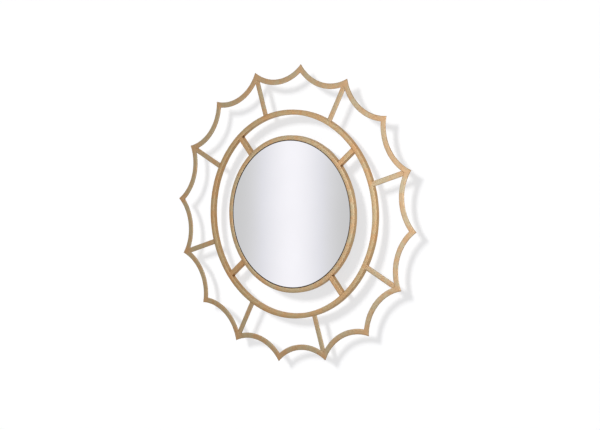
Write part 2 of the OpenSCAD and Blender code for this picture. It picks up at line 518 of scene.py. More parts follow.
@dataclass(frozen=True)
class AntiqueGold(Finish):
    """Rubbed antique gold on steel bars, with painted shade on their sides and in corners."""

    olive: Color = (0.446, 0.336, 0.180)
    copper: Color = (0.506, 0.292, 0.129)
    heated: Color = (0.535, 0.300, 0.130)
    pale: Color = (0.590, 0.460, 0.290)
    # Umber darkens the freckles, and as painted shade the sides and backs of the bars.
    umber: Color = (0.330, 0.195, 0.085)
    # Dark is painted shade in the corners by joints.
    dark: Color = (0.130, 0.060, 0.022)
    brush: Span = (14.0, 1100.0)
    broad_clouds: Span = (19.0, 120.0)
    close_clouds: Span = (60.0, 900.0)
    close_share: float = 0.55
    tone_cut: Span = (0.3, 0.75)
    freckle_cut: Span = (0.55, 1.0)
    corner_shade_reach: float = 0.004
    joint_reach: float = 0.018
    freckle: float = 0.35
    heat: float = 0.85
    lining: float = 0.14
    # Share of painted shade on the sides and backs of the bars.
    side: float = 0.34
    rub: float = 0.35
    # Share of painted shade in corners by joints.
    corner_shade: float = 0.75
    metallic: float = 0.85
    line_rough: Span = (0.39, 0.49)
    speckle_rough: Span = (0.0, 0.06)
    speckle_height: float = 0.6
    bump: Span = (0.25, 0.0001)

    def toned(self, name: str, tone: Color, heat: float) -> "AntiqueGold":
        """Makes a lighter or warmer kind of the finish.

        Args:
            name: Name of the new finish.
            tone: What its red, green and blue are multiplied by.
            heat: Strength of the tint by its joints.

        Returns:
            The new finish.
        """
        colors = {
            key: tuple(share * value for share, value in zip(tone, getattr(self, key)))
            for key in ("olive", "copper", "heated", "pale", "umber")
        }
        return replace(self, name=name, heat=heat, **colors)

    def dress(self, coat: Coat) -> None:
        """Adds clouds of tone, brush lines along the bar, rubbed edges, tint by joints and painted
        shade.

        Args:
            coat: Graph of the material.
        """
        along = coat.out("ShaderNodeUVMap", "UV", uv_map=BAR_UV)
        lines = coat.lines(along, *self.brush)
        broad, freckles = coat.mottle(*self.broad_clouds)
        close, speckle = coat.mottle(*self.close_clouds)
        reach = {"Corner Reach": self.corner_shade_reach, "Joint Reach": self.joint_reach}
        wear_and_shade = coat.place(coat.effects.wear_and_shade, {"Vector": coat.where, **reach})
        tone = coat.remap(coat.between(broad, close, self.close_share), self.tone_cut)
        color = coat.mix(tone, self.olive, self.copper)
        for mask, share, over in (
            (coat.remap(freckles, self.freckle_cut), self.freckle, self.umber),
            (wear_and_shade["Joint"], self.heat, self.heated),
            (lines, self.lining, self.pale),
            # Painted shade: sides and backs darkened towards umber.
            (wear_and_shade["Side"], self.side, self.umber),
            (wear_and_shade["Rubbed"], self.rub, self.pale),
            # Painted shade in corners by joints.
            (wear_and_shade["Corner Shade"], self.corner_shade, self.dark),
        ):
            color = coat.mix(coat.times(mask, share), color, over)
        lined = coat.remap(lines, UNIT, self.line_rough)
        rough = coat.plus(lined, coat.remap(speckle, UNIT, self.speckle_rough))
        coat.shade(Base_Color=color, Metallic=self.metallic, Roughness=rough)
        height = coat.plus(lines, coat.times(speckle, self.speckle_height))
        coat.relief(height, *self.bump)


@dataclass(frozen=True)
class SilveredGlass(Finish):
    """Flat silvered glass with the faintest dust, and a dark line where the silver ends, partly
    painted shade by the ring's inner edge.
    """

    rim_r: float
    silver: Color = (0.925, 0.925, 0.935)
    dusty: Color = (0.905, 0.905, 0.912)
    # Dark glass where the silver ends, which also serves as painted shade by the ring's inner edge.
    bare_and_shade: Color = (0.040, 0.026, 0.016)
    rim_w: float = 0.0006
    rim_fade: float = 0.00012
    # Offset of the silvered disc, which makes the painted dark line wider towards the lower right.
    silver_at: Span = (-0.00045, 0.00021)
    film: Span = (9.0, 260.0)
    rough: Span = (0.0, 0.02)

    def dress(self, coat: Coat) -> None:
        """Adds the silver, its dust and its dark edge, which is partly painted shade.

        Args:
            coat: Graph of the material.
        """
        clouds, speckle = coat.mottle(*self.film)
        place = coat.parts(coat.where)
        aside = [coat.less(place[axis], at) for axis, at in zip("XZ", self.silver_at)]
        edge = self.rim_r - self.rim_w
        rim = coat.remap(coat.hypotenuse(*aside), (edge - self.rim_fade, edge))
        color = coat.mix(rim, coat.mix(clouds, self.silver, self.dusty), self.bare_and_shade)
        rough = coat.remap(speckle, UNIT, self.rough)
        coat.shade(Base_Color=color, Metallic=1.0, Roughness=rough)


@dataclass(frozen=True)
class BlackRubber(Finish):
    """Matt black rubber with a fine grain."""

    black: Color = (0.012, 0.012, 0.012)
    worn: Color = (0.040, 0.038, 0.036)
    shine: float = 0.5
    grain: Span = (120.0, 2500.0)
    rough: Span = (0.6, 0.8)
    bump: Span = (0.3, 0.0001)

    def dress(self, coat: Coat) -> None:
        """Adds the grain.

        Args:
            coat: Graph of the material.
        """
        clouds, speckle = coat.mottle(*self.grain)
        coat.shade(
            Base_Color=coat.mix(clouds, self.black, self.worn),
            Roughness=coat.remap(speckle, UNIT, self.rough),
            Specular_IOR_Level=self.shine,
        )
        coat.relief(speckle, *self.bump)


@dataclass(frozen=True)
class CorrugatedCard(Finish):
    """Brown corrugated card."""

    light: Color = (0.47, 0.29, 0.14)
    dark: Color = (0.33, 0.19, 0.085)
    flute_pitch: float = 0.0066
    fibres: Span = (60.0, 1400.0)
    rough: Span = (0.8, 0.95)
    bump: Span = (0.3, 0.0003)

    def dress(self, coat: Coat) -> None:
        """Adds the fibres and the flutes.

        Args:
            coat: Graph of the material.
        """
        clouds, speckle = coat.mottle(*self.fibres)
        across = coat.times(coat.parts(coat.where)["X"], FULL_TURN / self.flute_pitch)
        coat.shade(
            Base_Color=coat.mix(clouds, self.light, self.dark),
            Roughness=coat.remap(speckle, UNIT, self.rough),
        )
        coat.relief(coat.sine(across), *self.bump)


@dataclass(frozen=True)
class Hardboard(Finish):
    """Brown pressed fibre board."""

    brown: Color = (0.235, 0.130, 0.060)
    pale: Color = (0.330, 0.200, 0.105)
    fibre: Color = (0.140, 0.072, 0.032)
    clouds: Span = (22.0, 700.0)
    fibres: Span = (120.0, 1300.0)
    fibre_share: float = 0.45
    fleck_cut: Span = (0.6, 1.0)
    fleck_share: float = 0.5
    rough: Span = (0.7, 0.85)
    bump: Span = (0.3, 0.0002)

    def dress(self, coat: Coat) -> None:
        """Adds clouds, pressed fibres that lie level, and pale flecks.

        Args:
            coat: Graph of the material.
        """
        clouds, speckle = coat.mottle(*self.clouds)
        place = coat.parts(coat.where)
        fibres = coat.lines(coat.vector(X=place["X"], Y=place["Z"]), *self.fibres)
        color = coat.mix(clouds, self.brown, self.pale)
        color = coat.mix(coat.times(fibres, self.fibre_share), color, self.fibre)
        flecks = coat.times(coat.remap(speckle, self.fleck_cut), self.fleck_share)
        coat.shade(
            Base_Color=coat.mix(flecks, color, self.pale),
            Roughness=coat.remap(fibres, UNIT, self.rough),
        )
        coat.relief(coat.plus(fibres, speckle), *self.bump)


@dataclass(frozen=True)
class ZincSteel(Finish):
    """Zinc-plated pressed steel."""

    bright: Color = (0.57, 0.575, 0.58)
    dull: Color = (0.40, 0.405, 0.415)
    amber: Color = (0.52, 0.485, 0.40)
    plating: Span = (90.0, 1100.0)
    brush: Span = (40.0, 1800.0)
    amber_cut: Span = (0.7, 1.0)
    amber_share: float = 0.5
    rough: Span = (0.28, 0.42)
    bump: Span = (0.2, 0.0001)

    def dress(self, coat: Coat) -> None:
        """Adds the clouds of the plating and upright lines.

        Args:
            coat: Graph of the material.
        """
        clouds, speckle = coat.mottle(*self.plating)
        place = coat.parts(coat.where)
        lines = coat.lines(coat.vector(X=place["Z"], Y=place["X"]), *self.brush)
        color = coat.mix(clouds, self.bright, self.dull)
        tint = coat.times(coat.remap(clouds, self.amber_cut), self.amber_share)
        coat.shade(
            Base_Color=coat.mix(tint, color, self.amber),
            Metallic=1.0,
            Roughness=coat.remap(lines, UNIT, self.rough),
        )
        coat.relief(coat.plus(lines, speckle), *self.bump)


class Pieces:
    """Turns meshes into named pieces that stand for CAD nodes."""

    def __init__(self, nodes: dict[str, Object]) -> None:
        """Starts with nothing for the lamps to light.

        Args:
            nodes: Objects of the CAD nodes by name.
        """
        self.nodes = nodes
        self.lit: list[Object] = []
        self.mirrors: list[Object] = []

    def add(self, name: str, mesh: Mesh, slot: Slot, node: str) -> None:
        """Adds a piece in the place of a CAD node.

        Args:
            name: Name of the piece.
            mesh: Its mesh, in place.
            slot: Its material slot; not used.
            node: The CAD node that it stands for.
        """
        mesh.name = name
        piece = bpy.data.objects.new(name, mesh)
        bpy.context.scene.collection.objects.link(piece)
        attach(piece, BODY)
        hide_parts(node)
        self.lit.append(piece)
        LOG.info("piece %s: %d faces, for %s", name, len(mesh.polygons), node)

    def keep(self, node: str, material: Material, mirror: bool = False) -> None:
        """Keeps a CAD node's shape and gives it a finish.

        Args:
            node: Name of the CAD node.
            material: Its finish.
            mirror: Whether it would show the lamps as white shapes.
        """
        kept = self.nodes[node]
        kept.data.materials.clear()
        kept.data.materials.append(material)
        (self.mirrors if mirror else self.lit).append(kept)
        LOG.info("kept %s with %s", node, material.name)


def smooth(mesh: Mesh) -> Mesh:
    """Shades a mesh smooth, except at sharp corners.

    Args:
        mesh: The mesh.

    Returns:
        The same mesh.
    """
    mesh.shade_smooth()
    mesh.set_sharp_from_angle(angle=SHARP)
    return mesh


def discard(helper: Object) -> None:
    """Removes a helper and its mesh.

    Args:
        helper: An object that isn't part of the mirror.
    """
    mesh = helper.data
    bpy.data.objects.remove(helper)
    bpy.data.meshes.remove(mesh)


class ShapeTree:
    """Geometry Nodes tree with named inputs, one of which is its finish."""

    def __init__(self, name: str, values: dict[str, Any]) -> None:
        """Starts the tree.

        Args:
            name: Name of the tree.
            values: Values of its inputs by name.
        """
        self.tree = bpy.data.node_groups.new(name, "GeometryNodeTree")
        self.graph = Graph(self.tree)
        self.values = values
        self.sockets: dict[str, str] = {}
        face = self.tree.interface
        for key, value in values.items():
            kind = next(kind for sort, kind in SOCKET_KINDS.items() if isinstance(value, sort))
            socket = face.new_socket(key, in_out="INPUT", socket_type=kind)
            self.sockets[key] = socket.identifier
        face.new_socket("Geometry", in_out="OUTPUT", socket_type="NodeSocketGeometry")
        self.given = self.graph.add("NodeGroupInput").outputs

    def end(self, shape: Socket) -> None:
        """Ends the tree: makes its instances real and sets their finish.

        Args:
            shape: The geometry.
        """
        out = self.graph.out
        shape = out("GeometryNodeRealizeInstances", "Geometry", {"Geometry": shape})
        dressed = {"Geometry": shape, "Material": self.given["Finish"]}
        shape = out("GeometryNodeSetMaterial", "Geometry", dressed)
        self.graph.add("NodeGroupOutput", {"Geometry": shape})

    def mesh(self, **changes: Any) -> Mesh:
        """Runs the tree once and keeps its result as a plain mesh.

        Args:
            **changes: Inputs that differ from the tree's own values.

        Returns:
            The mesh, smooth with sharp corners.
        """
        holder = bpy.data.objects.new("holder", bpy.data.meshes.new("holder"))
        bpy.context.scene.collection.objects.link(holder)
        modifier = holder.modifiers.new("shape", "NODES")
        modifier.node_group = self.tree
        for key, value in {**self.values, **changes}.items():
            modifier[self.sockets[key]] = value
        graph = bpy.context.evaluated_depsgraph_get()
        mesh = bpy.data.meshes.new_from_object(holder.evaluated_get(graph), depsgraph=graph)
        discard(holder)
        return smooth(mesh)


class BarTree(ShapeTree):
    """Tree for a bar whose front edges are rounded."""

    ROUND_SHARE = 2 / 3
    ACROSS_COUNT = 13
    LINE_SHIFT = 3.7

    def __init__(
        self, name: str, plan: Plan, finish: Material, count: int, sizes: dict[str, float]
    ) -> None:
        """Starts the tree with a gridded block and its section.

        Args:
            name: Name of the tree.
            plan: Sizes of the mirror.
            finish: Finish of the bar.
            count: Number of points along the bar.
            sizes: The bar's width and depth, and what else its shape needs.
        """
        shared = {
            "Turn": 0.0,
            "Edge Radius": plan.edge_r,
            "Front": plan.front,
            "Scallop Centre": plan.scallop_centre,
            "Half Step": plan.half_step,
            "Finish": finish,
        }
        super().__init__(name, {**shared, **sizes})
        counts = {"Vertices X": count, "Vertices Y": self.ACROSS_COUNT, "Vertices Z": 2}
        self.block = self.graph.out("GeometryNodeMeshCube", "Mesh", {"Size": (2, 2, 2), **counts})
        self._section()

    def _section(self) -> None:
        """Works out where each point of the block lies in the bar's section."""
        graph, given = self.graph, self.given
        place = graph.parts(graph.out("GeometryNodeInputPosition", "Position"))
        self.along, across = place["X"], place["Y"]
        front = graph.math("GREATER_THAN", place["Z"], 0.0)
        back = graph.less(1.0, front)
        share, side = (graph.math(name, across) for name in ("ABSOLUTE", "SIGN"))
        radius = given["Edge Radius"]
        half_flat = graph.less(graph.times(given["Width"], 0.5), radius)
        flat_end = 1 - self.ROUND_SHARE
        flat = graph.times(graph.remap(share, (0.0, flat_end)), half_flat)
        bend = graph.remap(share, (flat_end, 1.0), (0.0, QUARTER))
        drop = graph.times(graph.less(1.0, graph.cosine(bend)), radius)
        self.wide = graph.times(side, graph.plus(graph.times(graph.sine(bend), radius), flat))
        self.high = graph.times(graph.less(given["Depth"], drop), front)
        self.rubbed = graph.times(graph.sine(graph.times(bend, 2.0)), front)
        # How much each point faces aside or back, for the gold's painted shade.
        self.aside = graph.math("MAXIMUM", graph.sine(bend), back)
        around = graph.plus(graph.times(bend, radius), flat)
        around = graph.plus(around, graph.times(back, given["Depth"]))
        self.around = graph.times(side, around)

    def close(self, right: Socket, up: Socket, length: Socket, to_end: Socket) -> None:
        """Places the points, stores their attributes and ends the tree.

        Args:
            right: Distance to the right of each point before the turn.
            up: Height of each point before the turn.
            length: Distance of each point along the bar.
            to_end: Distance of each point from the nearest end.
        """
        graph, given = self.graph, self.given
        cos, sin = graph.cosine(given["Turn"]), graph.sine(given["Turn"])
        x = graph.less(graph.times(right, cos), graph.times(up, sin))
        z = graph.plus(graph.times(right, sin), graph.times(up, cos))
        y = graph.less(graph.plus(given["Front"], given["Depth"]), self.high)
        shifted = graph.plus(graph.times(given["Turn"], self.LINE_SHIFT), length)
        shape = self.block
        for key, kind, domain, value in (
            (BAR_UV, "FLOAT2", "CORNER", graph.vector(X=shifted, Y=self.around)),
            (EDGE, "FLOAT", "POINT", self.rubbed),
            (JOINT, "FLOAT", "POINT", to_end),
            (SIDE_SHADE, "FLOAT", "POINT", self.aside),
        ):
            stored = {"Geometry": shape, "Name": key, "Value": value}
            settings = {"data_type": kind, "domain": domain}
            shape = graph.out("GeometryNodeStoreNamedAttribute", "Geometry", stored, **settings)
        moved = {"Geometry": shape, "Position": graph.vector(X=x, Y=y, Z=z)}
        self.end(graph.out("GeometryNodeSetPosition", "Geometry", moved))


@dataclass(frozen=True)
class SectionPoint:
    """One corner of a turned section."""

    radius: float
    y: float
    rubbed: float = 0.0
    # How much the point faces aside or back, for the gold's painted shade.
    side: float = 1.0


def rounded(
    centre: Span, radius: float, start: float, end: float, steps: int = 4
) -> list[SectionPoint]:
    """Rounds a corner of a turned section.

    Args:
        centre: Radius and y of the rounding's centre.
        radius: Radius of the rounding.
        start: Angle that it starts at, counted from the radial direction towards +Y.
        end: Angle that it ends at.
        steps: Number of faces on it.

    Returns:
        The points of the rounding.
    """
    points = []
    for step in range(steps + 1):
        share = step / steps
        angle = start + (end - start) * share
        place = (centre[0] + radius * math.cos(angle), centre[1] + radius * math.sin(angle))
        # The last value is how much the point faces aside, for the gold's painted shade.
        points.append(SectionPoint(*place, math.sin(math.pi * share), abs(math.cos(angle))))
    return points


def front_edges(plan: Plan, inner: float, outer: float) -> list[SectionPoint]:
    """Rounds the front edges of a ring.

    Args:
        plan: Sizes of the mirror.
        inner: Inside radius.
        outer: Outside radius.

    Returns:
        The points from the inside round the front to the outside.
    """
    r, y = plan.edge_r, plan.front + plan.edge_r
    middle = 3 * QUARTER
    return [
        *rounded((inner + r, y), r, math.pi, middle),
        *rounded((outer - r, y), r, middle, FULL_TURN),
    ]


def turned(
    section: list[SectionPoint],
    steps: int,
    material: Material | None = None,
    joints: Sequence[BarJoint] = (),
) -> Mesh:
    """Turns a closed section about the Y axis.

    Args:
        section: Corners, anticlockwise in radius and y; on the axis they close to a pole.
        steps: Number of steps round the axis.
        material: Finish of the mesh.
        joints: The bars that meet the ring.

    Returns:
        The mesh, with a UV map along the ring and attributes for rubbed edges, joints and painted
        shade.
    """
    verts: list[Point] = []
    rub, joint, side = [], [], []
    rings: list[list[int]] = []
    walk = [0.0]
    for point, after in zip(section, section[1:] + section[:1]):
        walk.append(walk[-1] + math.hypot(after.radius - point.radius, after.y - point.y))
        ring = []
        for step in range(steps if point.radius > 0 else 1):
            angle = FULL_TURN * step / steps
            ring.append(len(verts))
            verts.append((point.radius * math.cos(angle), point.y, point.radius * math.sin(angle)))
            distances = (bar.distance(angle, point.radius) for bar in joints)
            joint.append(min(distances, default=FAR_FROM_JOINTS))
            rub.append(point.rubbed)
            side.append(point.side)
        rings.append(ring if len(ring) > 1 else ring * steps)
    mean = sum(point.radius for point in section) / len(section)
    faces, corner_uv = [], []
    for k, ring in enumerate(rings):
        next_ring = rings[(k + 1) % len(rings)]
        for step in range(steps):
            then = (step + 1) % steps
            here, there = (FULL_TURN * at / steps * mean for at in (step, step + 1))
            corners = {}
            for vert, uv in (
                (ring[step], (here, walk[k])),
                (next_ring[step], (here, walk[k + 1])),
                (next_ring[then], (there, walk[k + 1])),
                (ring[then], (there, walk[k])),
            ):
                corners.setdefault(vert, uv)
            if len(corners) > 2:
                faces.append(tuple(corners))
                corner_uv += corners.values()
    mesh = bpy.data.meshes.new("turned")
    mesh.from_pydata(verts, [], faces)
    uv_layer = mesh.uv_layers.new(name=BAR_UV)
    uv_layer.data.foreach_set("uv", [value for uv in corner_uv for value in uv])
    for key, values in ((EDGE, rub), (JOINT, joint), (SIDE_SHADE, side)):
        mesh.attributes.new(key, "FLOAT", "POINT").data.foreach_set("value", values)
    if material:
        mesh.materials.append(material)
    return smooth(mesh)


@dataclass
class SpokeBars:
    """Straight radial bars, coped to what they meet."""

    plan: Plan
    finish: Material
    width: float
    depth: float
    end: SpokeEnd
    from_r: float
    to_r: float = 0.0
    along_count: int = 25

    def tree(self, name: str) -> BarTree:
        """Makes the tree of a spoke.

        Args:
            name: Name of the tree.

        Returns:
            The tree.
        """
        plan = self.plan
        sizes = {
            "Width": self.width,
            "Depth": self.depth,
            "Inner Radius": self.from_r,
            "Outer Radius": self.to_r,
            "Scallop Inner Radius": plan.scallop_r + plan.border_w,
        }
        tree = BarTree(name, plan, self.finish, self.along_count, sizes)
        graph, given = tree.graph, tree.given
        start = graph.leg(given["Inner Radius"], tree.wide)
        if self.end is SpokeEnd.ROUND:
            stop = graph.leg(given["Outer Radius"], tree.wide)
        else:
            aside = graph.times(given["Scallop Centre"], graph.sine(given["Half Step"]))
            ahead = graph.times(given["Scallop Centre"], graph.cosine(given["Half Step"]))
            offset = graph.less(aside, graph.math("ABSOLUTE", tree.wide))
            stop = graph.less(ahead, graph.leg(given["Scallop Inner Radius"], offset))
        length = graph.less(stop, start)
        reached = graph.times(graph.remap(tree.along, (-1.0, 1.0)), length)
        right = graph.plus(start, reached)
        to_end = graph.math("MINIMUM", reached, graph.less(length, reached))
        tree.close(right, tree.wide, right, to_end)
        return tree


@dataclass
class ScallopedBorder:
    """The pointed border of mitred scallops and the spokes that carry it."""

    plan: Plan
    finish: Material
    spoke_finish: Material
    along_count: int = 49

    def bar_tree(self) -> BarTree:
        """Makes the tree of a scallop that ends on the radial lines through its points.

        Returns:
            The tree.
        """
        plan = self.plan
        sizes = {
            "Width": plan.border_w,
            "Depth": plan.border_t,
            "Scallop Radius": plan.scallop_r + plan.border_w / 2,
        }
        tree = BarTree("scallop_bar", plan, self.finish, self.along_count, sizes)
        graph, given = tree.graph, tree.given
        centre, half_step = given["Scallop Centre"], given["Half Step"]
        radius = graph.plus(given["Scallop Radius"], tree.wide)
        offset = graph.times(centre, graph.sine(half_step))
        mitre = graph.less(graph.math("ARCSINE", graph.math("DIVIDE", offset, radius)), half_step)
        angle = graph.times(tree.along, mitre)
        right = graph.less(centre, graph.times(radius, graph.cosine(angle)))
        up = graph.times(radius, graph.sine(angle))
        left_over = graph.less(1.0, graph.math("ABSOLUTE", tree.along))
        to_end = graph.times(graph.times(left_over, mitre), radius)
        tree.close(right, up, graph.times(angle, given["Scallop Radius"]), to_end)
        return tree

    def build(self, pieces: Pieces) -> None:
        """Builds the border's bars and its spokes.

        Args:
            pieces: Takes the finished pieces.
        """
        plan = self.plan
        tree = self.bar_tree()
        for index in range(plan.points):
            mesh = tree.mesh(Turn=(2 * index + 1) * plan.half_step)
            number = f"{index + 1:02d}"
            pieces.add(f"border_bar_{number}", mesh, Slot.GOLD, f"border_arc_{number}")
        sizes = (plan.outer_spoke_w, plan.outer_spoke_t, SpokeEnd.POINTED, plan.middle_r)
        tree = SpokeBars(plan, self.spoke_finish, *sizes).tree("border_spoke")
        for index in range(plan.points // 2):
            mesh = tree.mesh(Turn=(4 * index + 2) * plan.half_step)
            number = index + 1
            pieces.add(f"border_spoke_{number}", mesh, Slot.GOLD, f"outer_spoke_{number}")


@dataclass
class RingFrame:
    """The middle ring and the short spokes that join it to the mirror's ring."""

    plan: Plan
    finish: Material
    steps: int = 320

    def build(self, pieces: Pieces) -> None:
        """Builds the ring and its spokes.

        Args:
            pieces: Takes the finished pieces.
        """
        plan = self.plan
        inner, outer = plan.middle_inner_r, plan.middle_r
        back = plan.front + plan.middle_ring_depth
        section = [
            *front_edges(plan, inner, outer),
            SectionPoint(outer, back),
            SectionPoint(inner, back),
        ]
        hoop = turned(section, self.steps, self.finish, plan.spoke_joints(inner))
        pieces.add("middle_hoop", hoop, Slot.GOLD, "middle_ring")
        sizes = (plan.inner_spoke_w, plan.inner_spoke_depth, SpokeEnd.ROUND)
        spokes = SpokeBars(plan, self.finish, *sizes, plan.mirror_ring_r, inner)
        tree = spokes.tree("ring_spoke")
        for number, turn in enumerate(plan.inner_turns, 1):
            mesh = tree.mesh(Turn=turn)
            pieces.add(f"ring_spoke_{number}", mesh, Slot.GOLD, f"inner_spoke_{number}")


@dataclass
class MirrorUnit:
    """The ring that holds the glass, and all that lies in it."""

    plan: Plan
    gold: Material
    silver: Material
    tape: Material
    card: Material
    board: Material
    steps: int = 320

    def build(self, pieces: Pieces) -> None:
        """Builds the ring, an angle in section, and dresses the sheets in it.

        Args:
            pieces: Takes the finished pieces.
        """
        plan = self.plan
        inner, outer = plan.sight_r, plan.mirror_ring_r
        wall, rebate = outer - plan.ring_wall_t, plan.front + plan.flange_t
        section = [
            *front_edges(plan, inner, outer),
            SectionPoint(outer, plan.back_y),
            SectionPoint(wall, plan.back_y),
            SectionPoint(wall, rebate),
            SectionPoint(inner, rebate),
        ]
        hoop = turned(section, self.steps, self.gold, plan.spoke_joints(outer))
        pieces.add("mirror_hoop", hoop, Slot.GOLD, "mirror_ring")
        pieces.keep("mirror_glass", self.silver, mirror=True)
        pieces.keep("glazing_gasket", self.tape)
        pieces.keep("cushion_sheet", self.card)
        pieces.keep("back_board", self.board)


@dataclass
class BackFittings:
    """Clips, screws, hangers and bumpers on the back."""

    plan: Plan
    zinc: Material
    rubber: Material
    clip_count: int = 8
    clip_bevel: float = 0.0003
    hanger_bevel: float = 0.0004
    bevel_steps: int = 2
    merge_gap: float = 1e-6
    flat_angle: float = math.radians(1)
    corner_angle: float = math.radians(30)
    bumper_angle: float = math.radians(45)
    bumper_round: float = 0.0015
    bumper_dish: float = 0.0006
    head_round: float = 0.0009
    round_steps: int = 6
    screw_tip: float = 0.0012
    tip_share: float = 1 / 3
    recess_length: float = 0.0034
    recess_width: float = 0.0007
    recess_depth: float = 0.0010
    recess_shares: Span = (2.0, 1.8)
    recess_spin: float = 3.1
    steps: int = 48

    def build(self, pieces: Pieces) -> None:
        """Builds the fittings.

        Args:
            pieces: Takes the finished pieces.
        """
        for number in range(1, self.clip_count + 1):
            node = f"retaining_clip_{number}"
            mesh = self.eased(pieces.nodes[node], self.clip_bevel)
            pieces.add(f"board_clip_{number}", mesh, Slot.ZINC, node)
        pieces.add("board_screws", self.screws(), Slot.ZINC, "clip_screws")
        for name, side in (("left", -1), ("right", 1)):
            node = f"hanger_{name}"
            mesh = self.eased(pieces.nodes[node], self.hanger_bevel)
            pieces.add(f"wall_{node}", mesh, Slot.ZINC, node)
            pieces.add(f"wall_bumper_{name}", self.bumper(side), Slot.RUBBER, f"bumper_{name}")

    def eased(self, node: Object, bevel: float) -> Mesh:
        """Makes a pressed plate with eased edges from a CAD node.

        Args:
            node: The CAD node.
            bevel: Width of the eased edges.

        Returns:
            The mesh.
        """
        form = bmesh.new()
        form.from_mesh(node.data)
        bmesh.ops.remove_doubles(form, verts=form.verts, dist=self.merge_gap)
        bmesh.ops.dissolve_limit(
            form, angle_limit=self.flat_angle, verts=form.verts, edges=form.edges
        )
        corners = [edge for edge in form.edges if edge.calc_face_angle(0.0) > self.corner_angle]
        bmesh.ops.bevel(
            form,
            geom=corners,
            offset=bevel,
            segments=self.bevel_steps,
            profile=0.5,
            affect="EDGES",
            clamp_overlap=True,
        )
        mesh = bpy.data.meshes.new(node.name)
        form.to_mesh(mesh)
        form.free()
        mesh.materials.append(self.zinc)
        return smooth(mesh)

    def bumper(self, side: int) -> Mesh:
        """Makes a rubber bumper with a rounded, slightly hollow end.

        Args:
            side: Minus one for the left, one for the right.

        Returns:
            The mesh.
        """
        plan, r = self.plan, self.bumper_round
        foot, tip = plan.bumper_d / 2, plan.bumper_tip_d / 2
        section = [
            SectionPoint(0.0, plan.back_y),
            SectionPoint(foot, plan.back_y),
            *rounded((tip - r, plan.wall - r), r, 0.0, QUARTER, self.round_steps),
            SectionPoint(tip / 2, plan.wall - self.bumper_dish / 2),
            SectionPoint(0.0, plan.wall - self.bumper_dish),
        ]
        mesh = turned(section, self.steps, self.rubber)
        away, angle = plan.glass_r - plan.bumper_inset, self.bumper_angle
        place = (side * away * math.sin(angle), 0.0, -away * math.cos(angle))
        mesh.transform(Matrix.Translation(place))
        return mesh

    def screw_form(self) -> Object:
        """Turns one pan-head screw about the Y axis, its head towards the wall.

        Returns:
            The screw, not yet part of the object.
        """
        plan, r = self.plan, self.head_round
        shank, head = plan.screw_d / 2, plan.screw_head_d / 2
        tip, seat = plan.back_y - plan.screw_bite, plan.back_y + plan.clip_t
        top = seat + plan.screw_head_h
        section = [
            SectionPoint(0.0, tip),
            SectionPoint(shank * self.tip_share, tip),
            SectionPoint(shank, tip + self.screw_tip),
            SectionPoint(shank, seat),
            SectionPoint(head, seat),
            *rounded((head - r, top - r), r, 0.0, QUARTER, self.round_steps),
            SectionPoint(0.0, top),
        ]
        return bpy.data.objects.new("screw_form", turned(section, self.steps))

    def screws(self) -> Mesh:
        """Cuts the cross recess of one screw and stands a copy of it in each clip.

        Returns:
            The mesh of all the screws.
        """
        plan = self.plan
        form = self.screw_form()
        values = {
            "Screw": form,
            "Count": self.clip_count,
            "Ring Radius": plan.clip_screw_r,
            "Head Top": plan.back_y + plan.clip_t + plan.screw_head_h,
            "Recess Length": self.recess_length,
            "Recess Width": self.recess_width,
            "Recess Depth": self.recess_depth,
            "Finish": self.zinc,
        }
        tree = ShapeTree("clip_screw_ring", values)
        graph, given = tree.graph, tree.given
        top = graph.vector(Y=given["Head Top"])
        screw = graph.out("GeometryNodeObjectInfo", "Geometry", {"Object": given["Screw"]})
        sides = [given["Recess Length"], given["Recess Width"]]
        for (x, z), share in zip((sides, sides[::-1]), self.recess_shares):
            size = graph.vector(X=x, Y=graph.times(given["Recess Depth"], share), Z=z)
            block = graph.out("GeometryNodeMeshCube", "Mesh", {"Size": size})
            moved = {"Geometry": block, "Translation": top}
            cut = {"Mesh 1": screw, "Mesh 2": graph.out("GeometryNodeTransform", "Geometry", moved)}
            screw = graph.out("GeometryNodeMeshBoolean", "Mesh", cut, operation="DIFFERENCE")
        index = graph.plus(graph.out("GeometryNodeInputIndex", "Index"), 0.5)
        angle = graph.times(index, graph.math("DIVIDE", FULL_TURN, given["Count"]))
        radius = given["Ring Radius"]
        x, z = graph.times(graph.cosine(angle), radius), graph.times(graph.sine(angle), radius)
        spots = {"Count": given["Count"], "Position": graph.vector(X=x, Z=z)}
        stood = {
            "Points": graph.out("GeometryNodePoints", "Points", spots),
            "Instance": screw,
            "Rotation": graph.vector(Y=graph.times(angle, self.recess_spin)),
        }
        tree.end(graph.out("GeometryNodeInstanceOnPoints", "Instances", stood))
        mesh = tree.mesh()
        discard(form)
        return mesh


@dataclass(frozen=True)
class Light:
    """One light of the studio, which shines on the middle of the object."""

    name: str
    kind: LightKind
    place: Point
    energy: float
    spread: float
    tint: Color = WHITE

    def add(self, receivers: list[Object] | None = None) -> Object:
        """Adds the light to the scene; its spread is a sun's angle or a panel's side.

        Args:
            receivers: The only pieces that it lights, if not all things.

        Returns:
            The light.
        """
        data = bpy.data.lights.new(self.name, self.kind.value)
        data.energy = self.energy
        data.color = self.tint
        setattr(data, "angle" if self.kind is LightKind.SUN else "size", self.spread)
        light = bpy.data.objects.new(self.name, data)
        bpy.context.scene.collection.objects.link(light)
        light.location = self.place
        light.rotation_mode = "QUATERNION"
        light.rotation_quaternion = Vector(self.place).to_track_quat("Z", "Y")
        light.visible_camera = False
        if receivers is not None:
            lit = bpy.data.collections.new(f"lit_by_{self.name}")
            for piece in receivers:
                lit.objects.link(piece)
            light.light_linking.receiver_collection = lit
        return light


